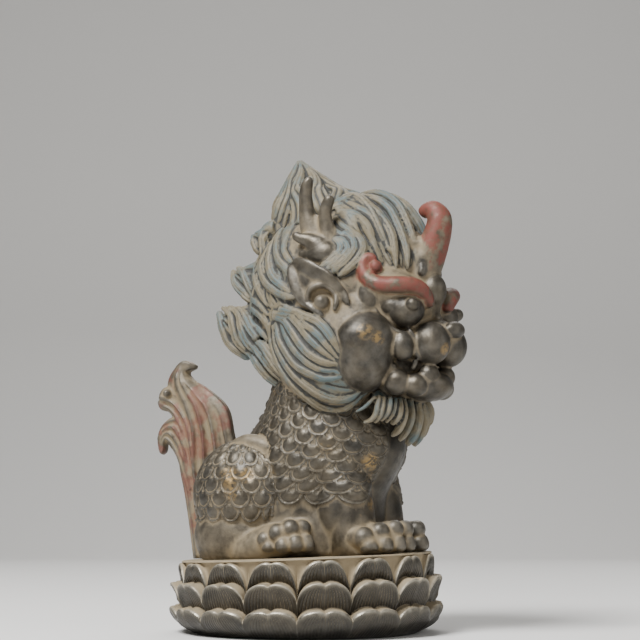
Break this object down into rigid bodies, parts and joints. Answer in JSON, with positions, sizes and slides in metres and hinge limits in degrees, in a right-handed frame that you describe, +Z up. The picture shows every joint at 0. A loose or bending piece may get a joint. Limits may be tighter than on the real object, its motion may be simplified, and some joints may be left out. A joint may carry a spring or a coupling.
{
  "type": "qilin figure",
  "caption": "Small cast bronze qilin seated upright on a round lotus base, with a scaled body, a combed mane, a hooked horn and a flame tail.",
  "frame": {"origin": "middle of the lotus base's flat underside, on the surface it stands on", "axes": "+X the way the beast's body faces, +Y its left side, +Z up"},
  "size_m": [0.0697, 0.0534, 0.0954],
  "materials": {
    "figure_bronze": "dark brown-grey patinated bronze, satin, with tan dirt in the grooves and worn blue, red and gold paint",
    "base_bronze": "dark patinated bronze, satin, with tan dirt on the petal lips"
  },
  "bodies": {
    "root": {"qilin": "figure_bronze", "lotus_base": "base_bronze"}
  },
  "joints": []
}
